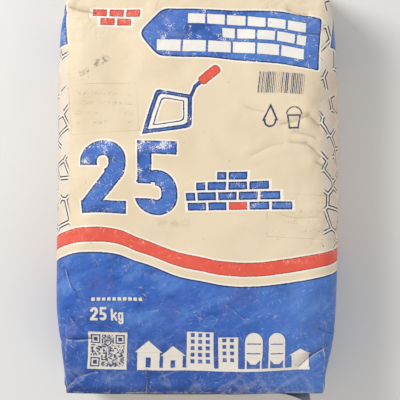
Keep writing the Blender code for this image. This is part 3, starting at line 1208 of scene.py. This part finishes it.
def printed_paper():
    """Cream sack paper with its print, worn, creased and dusty."""
    material, plan, shader = finish_of("printed sack paper")
    flat = plan.add("ShaderNodeUVMap", uv_map="paper")
    place = Wire(plan, flat.outputs[0])
    x, y, _ = plan.split(place)
    across, along = x * 1000.0, y * 1000.0
    bends = plan.placed(BENDS, Across=across, Along=along)
    beside = plan.stepped(abs(across), 75.0, 150.0) * plan.stepped(across, -150.0, 90.0, 0.55, 1.0)
    near_end = plan.stepped(abs(along + 35.0), 130.0, 205.0, 0.12, 1.25)
    handled = plan.largest(beside, near_end)
    grain = plan.placed(GRAIN, Place=place, Crumple=handled)
    height = grain["Height"] - bends["Depth"] * 0.7
    relief(plan, shader, height, 0.8, 0.0016)
    cloud, ridges = grain["Cloud"], grain["Ridges"] * handled
    wobble = plan.cloudy(place, 420, 2) - 0.5
    drift = plan.cloudy(place, 30, 2) - 0.5
    across = across + wobble * 0.9 + drift * 1.2
    along = along - wobble * 0.8 + drift * 0.9
    outward = abs(across)
    sheet = Sheet(plan, across, along)

    # Distances to the edges of the print.
    above = along - wave_edge(plan, across)
    label = plan.placed(LABEL, Across=across, Along=along)
    tools = plan.placed(TOOLS, Across=across, Along=along)
    figures = plan.placed(NUMBER_25, Across=(across + 130.0) * (1 / 92), Along=(along + 43.0) * (1 / 86))
    figures = figures["Distance"] * 88.0
    front = outward - 146.0
    side_block = plan.smallest(
        sheet.box(-195.0, 178.0, 48.0, 25.0, 1.0, 3.0), sheet.box(202.0, 174.0, 43.0, 25.0, 1.0, -7.0)
    )
    blue = plan.smallest(above, label["Panel"], figures, tools["Blue"], side_block)
    red_bricks = plan.smallest(
        brick_row(sheet, -118, -64, 193.5, 4.2, 18.3), brick_row(sheet, -109, -73, 183.0, 4.2, 18.3)
    )
    red = plan.smallest(abs(above - 19.8) - 8.4, tools["Red"], red_bricks)
    figure_25 = plan.placed(NUMBER_25, Across=(across + 119.0) * (1 / 15), Along=(along + 167.0) * (1 / 15))
    unit = plan.placed(UNIT_KG, Across=(across + 96.0) * (1 / 13), Along=(along + 167.0) * (1 / 13))
    rule = brick_row(sheet, -119, -58, -143.0, 1.9, 6.0, 0.0, 2.0)
    roofs = plan.placed(ROOFS, Across=across, Along=along)["Distance"]
    code = plan.placed(CODE, Across=across, Along=along)
    small = plan.smallest(figure_25["Distance"] * 15.0, unit["Distance"] * 13.0, rule)
    white = plan.smallest(label["Bricks"], small, roofs, code["Ground"])
    dark = plan.smallest(plan.placed(MARKS, Across=across, Along=along)["Distance"], code["Dark"])

    # Wear of the ink.
    worn = plan.cloudy(place, 75, 5, 0.7)
    speckle = plan.cloudy(place, 700, 2, 0.7)
    figure_tops = plan.stepped(abs(along - 38.0), 2.0, 9.0, 0.075, 0.0) * covered(figures)
    rubbed = plan.stepped(worn * 0.55 + speckle * 0.45 + figure_tops, 0.585, 0.64)
    in_top = plan.stepped(above, 20.0, 30.0)
    ink_left = 1.0 - (rubbed * (0.12 + in_top * 0.78)).held()

    # Papers and inks.
    lattice = plan.placed(LATTICE, Place=place, Across=outward)
    on_side = plan.stepped(outward, 143.0, 148.0) * (1.0 - plan.stepped(outward, 251.0, 257.0))
    on_side = on_side * plan.stepped(above, 28.0, 32.0)
    tint = plan.mixed(on_side * 0.8, CREAM, SIDE_PAPER)
    tint = plan.mixed(plan.stepped(cloud, 0.38, 0.68) * 0.30, tint, CREAM_DEEP)
    tint = plan.mixed(lattice["Tint"] * on_side * 0.6, tint, (0.72, 0.28, 0.26))
    tint = plan.mixed(lattice["Pale"] * on_side * 0.8, tint, HALO)
    tint = plan.mixed(lattice["Lines"] * on_side * ink_left, tint, DARK_BROWN)
    tint = plan.mixed(plan.placed(STAMPS, Place=place, Across=across, Along=along)["Ink"] * 0.52, tint, GRIME_AND_SHADE)
    edge_white = plan.stepped(plan.smallest(blue, red), 1.2, 2.2, 1.0, 0.0)
    tint = plan.mixed(edge_white * 0.9, tint, HALO)
    field = plan.mixed(plan.stepped(above, -40.0, 10.0), BLUE, LABEL_BLUE)
    brushed = plan.cloudy(plan.turned(place, 28, 2.2), 42, 5, 0.66)
    field = plan.mixed(plan.stepped(brushed, 0.49, 0.68) * 0.75, field, BLUE_LIGHT)
    field = plan.mixed(plan.stepped(brushed, 0.50, 0.30) * 0.75, field, BLUE_DEEP)
    field = plan.mixed(plan.stepped(plan.cloudy(place, 19, 2), 0.50, 0.68) * 0.30, field, BLUE_VIOLET)
    # Darker towards the foot: partly dirt, partly painted shade where the sack rounds over to its base, with a
    # painted shadow band just above the fold.
    field = plan.mixed(plan.stepped(along, -150.0, -228.0, 0.06, 0.62), field, BLUE_DEEP)
    field = plan.mixed(plan.stepped(along, -239.0, -246.0, 0.0, 0.60), field, EDGE_BLUE)
    # Painted shade in the long diagonal valley at the lower right.
    valley_shade = plan.stepped(sheet.stroke(112.0, -221.0, 158.0, -194.0, 2.0), 0.0, 7.0, 0.75, 0.0)
    field = plan.mixed(valley_shade, field, BLUE_DEEP)
    field = plan.mixed(plan.stepped(across, 30.0, 130.0, 0.0, 0.40), field, BLUE_LIGHT)
    field = plan.mixed(plan.stepped(abs(blue + 0.80), 0.60, 1.20, 0.95, 0.0), field, EDGE_BLUE)
    tint = plan.mixed(covered(blue) * ink_left, tint, field)
    red_ink = plan.mixed(plan.stepped(abs(red + 0.6), 0.45, 1.00, 0.70, 0.0), RED, EDGE_RED)
    tint = plan.mixed(covered(red) * ink_left, tint, red_ink)
    on_front = plan.largest(white, front)
    tint = plan.mixed(plan.stepped(on_front, 0.0, 1.4, 0.55, 0.0), tint, EDGE_BLUE)
    bare = plan.mixed(plan.stepped(above, -30.0, 0.0), AGED_PAPER, WHITE_PAPER)
    tint = plan.mixed(covered(on_front) * 0.97, tint, bare)
    tint = plan.mixed(covered(dark) * (0.4 + 0.6 * ink_left), tint, NIGHT_BLUE)

    # Dirt and painted shade. What darkens the paper brown or the ink dark: smudges, a stain, specks, the seam and
    # a streak near the foot, a painted shadow line in the bend of each wrinkle, and painted shade in the wrinkles'
    # valleys on bare paper:
    inked = covered(plan.smallest(blue, red))
    patchy = plan.stepped(worn, 0.40, 0.60)
    smudge = plan.smallest(
        sheet.box(-106.0, 134.5, 10.0, 4.0, 4.0, 35.0), sheet.box(-125.0, 120.5, 7.0, 2.5, 2.5, 25.0)
    )
    smudge = plan.stepped(smudge, -2.0, 2.5, 0.85, 0.0) * plan.stepped(plan.cloudy(place, 240, 4, 0.7), 0.42, 0.60)
    stain = plan.stepped(sheet.box(-28.0, -52.0, 22.0, 4.0, 4.0, 4.0), -4.0, 4.0, 0.25, 0.0) * patchy
    specks = plan.stepped(plan.cloudy(place, 230, 1), 0.82, 0.86, 0.0, 0.6)
    seam = plan.stepped(abs(across - 387.3), 0.3, 1.3, 0.35, 0.0)
    streak = plan.stepped(sheet.box(-51.0, -240.0, 3.5, 15.0, 2.0), -2.0, 2.0, 0.30, 0.0)
    # Dirt, and the painted shadow line in each wrinkle's bend, darken the paper or the ink.
    dirt_and_shade = plan.largest(smudge, stain, specks, seam, streak, bends["Line"] * (0.45 + 0.40 * patchy))
    tint = plan.mixed(dirt_and_shade, tint, plan.mixed(inked, GRIME_AND_SHADE, EDGE_BLUE))
    soft_shade = (bends["Depth"] * 0.45).held() * (1.0 - inked)
    tint = plan.mixed(plan.largest(soft_shade, ridges * 0.2 * (1.0 - inked)), tint, CREAM_DEEP)

    # What pales the ink: ridges, scratches and worn folds bare the paper under it, and a painted highlight lies on
    # the lip beside each bend.
    scratches = plan.placed(SCRATCHES, Place=place, Amount=0.22)["Cover"]
    fold_ink = plan.stepped(abs(abs(along) - 248.8), 0.3, 1.3, 0.22, 0.0)
    side_ink = plan.stepped(abs(outward - 146.0), 0.3, 1.5, 0.45, 0.0) * plan.stepped(abs(along), 150.0, 235.0)
    folds = plan.largest(fold_ink, side_ink, bends["Painted Highlight"] * 0.32) * patchy
    bared_and_highlit = plan.largest(scratches, folds, ridges * 0.10)
    tint = plan.mixed(bared_and_highlit * inked, tint, WHITE_PAPER)
    low_end = plan.stepped(along, -245.0, -150.0, 0.48, 0.12) + plan.stepped(across, 100.0, 160.0, 0.0, 0.08)
    dust = plan.placed(DUST, Place=place, Amount=low_end)["Cover"] * (0.35 + 0.65 * inked)
    tint = plan.mixed(dust, tint, CEMENT_GREY)
    plan.feed(shader.inputs["Base Color"], tint)
    rough = 0.56 + 0.18 * dust - 0.10 * inked + 0.08 * (cloud - 0.5)
    plan.feed(shader.inputs["Roughness"], rough)
    shader.inputs["Specular IOR Level"].default_value = 0.35
    return material


def plain_paper(name, light, deep, crumple, dusting):
    """Unprinted kraft paper."""
    material, plan, shader = finish_of(name)
    place = Wire(plan, plan.add("ShaderNodeUVMap", uv_map="paper").outputs[0])
    grain = plan.placed(GRAIN, Place=place, Crumple=crumple)
    fibre = plan.cloudy(plan.turned(place, 0, 4.0), 700, 3, 0.65)
    tint = plan.mixed(plan.stepped(fibre * 0.5 + grain["Cloud"] * 0.5, 0.24, 0.74), deep, light)
    dust = plan.placed(DUST, Place=place, Amount=dusting)["Cover"]
    plan.feed(shader.inputs["Base Color"], plan.mixed(dust, tint, CEMENT_GREY))
    plan.feed(shader.inputs["Roughness"], 0.74 + 0.14 * dust)
    shader.inputs["Specular IOR Level"].default_value = 0.3
    relief(plan, shader, grain["Height"] + fibre * 0.15, 0.5, 0.0010)
    return material


def pale_floor():
    material, plan, shader = finish_of("pale floor")
    place = Wire(plan, plan.add("ShaderNodeTexCoord").outputs["Object"])
    cloud = plan.cloudy(place, 3, 3)
    plan.feed(shader.inputs["Base Color"], plan.mixed(cloud, (0.80, 0.79, 0.77), (0.76, 0.75, 0.73)))
    shader.inputs["Roughness"].default_value = 0.8
    return material


sack.data.materials.clear()
sack.data.materials.append(printed_paper())
kraft = plain_paper("kraft patch paper", KRAFT, KRAFT_DEEP, 0.8, 0.5)
inner_kraft = plain_paper("patch paper inside", INSIDE_PAPER, INSIDE_DEEP, 0.6, 0.3)
for sheet in (base_sheet, valve_sheet):
    sheet.data.materials.append(kraft)
    sheet.data.materials.append(inner_kraft)
valve_tube.data.materials.append(plain_paper("valve paper", VALVE_PAPER, VALVE_DEEP, 0.5, 0.4))

# What each piece stands for.
for piece, node, finish in (
    (sack, "filled_sack", "sack_paper"),
    (base_sheet, "base_patch", "patch_paper"),
    (valve_sheet, "valve_end_patch", "patch_paper"),
    (valve_tube, "valve_sleeve", "valve_paper"),
):
    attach(piece, "root")
    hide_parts(node)

# Floor, soft studio light and the photograph's view.
bpy.ops.mesh.primitive_plane_add(size=12, location=(0, 0, 0))
floor = bpy.context.object
floor.name = "floor"
floor.data.materials.append(pale_floor())

world = bpy.data.worlds.new("studio")
world.use_nodes = True
world.node_tree.nodes["Background"].inputs["Color"].default_value = (1.0, 0.985, 0.96, 1.0)
world.node_tree.nodes["Background"].inputs["Strength"].default_value = 0.50
bpy.context.scene.world = world


def soft_light(name, place, aim, size, power):
    lamp = bpy.data.lights.new(name, "AREA")
    lamp.size = size
    lamp.energy = power
    thing = bpy.data.objects.new(name, lamp)
    thing.location = place
    thing.rotation_euler = (Vector(aim) - Vector(place)).to_track_quat("-Z", "Y").to_euler()
    bpy.context.scene.collection.objects.link(thing)


soft_light("window light", (-1.3, 1.1, 1.5), (0, -0.05, 0.1), 0.8, 33)
soft_light("fill light", (1.2, -1.6, 1.7), (0, -0.1, 0.1), 1.6, 13)

VIEW_AIM = Vector((0.0062, -0.0250, 0.115))
VIEW_PLACE = Vector((0.035, -0.060, 1.015))
lens = bpy.data.cameras.new("photograph view")
lens.sensor_width = 36
lens.lens = 71.6
camera = bpy.data.objects.new("photograph view", lens)
back = (VIEW_PLACE - VIEW_AIM).normalized()
right = Vector((0, 1, 0)).cross(back).normalized()
camera.matrix_world = Matrix.LocRotScale(VIEW_PLACE, Matrix((right, back.cross(right), back)).transposed(), None)
bpy.context.scene.collection.objects.link(camera)
bpy.context.scene.camera = camera
bpy.context.scene.view_settings.view_transform = "Standard"
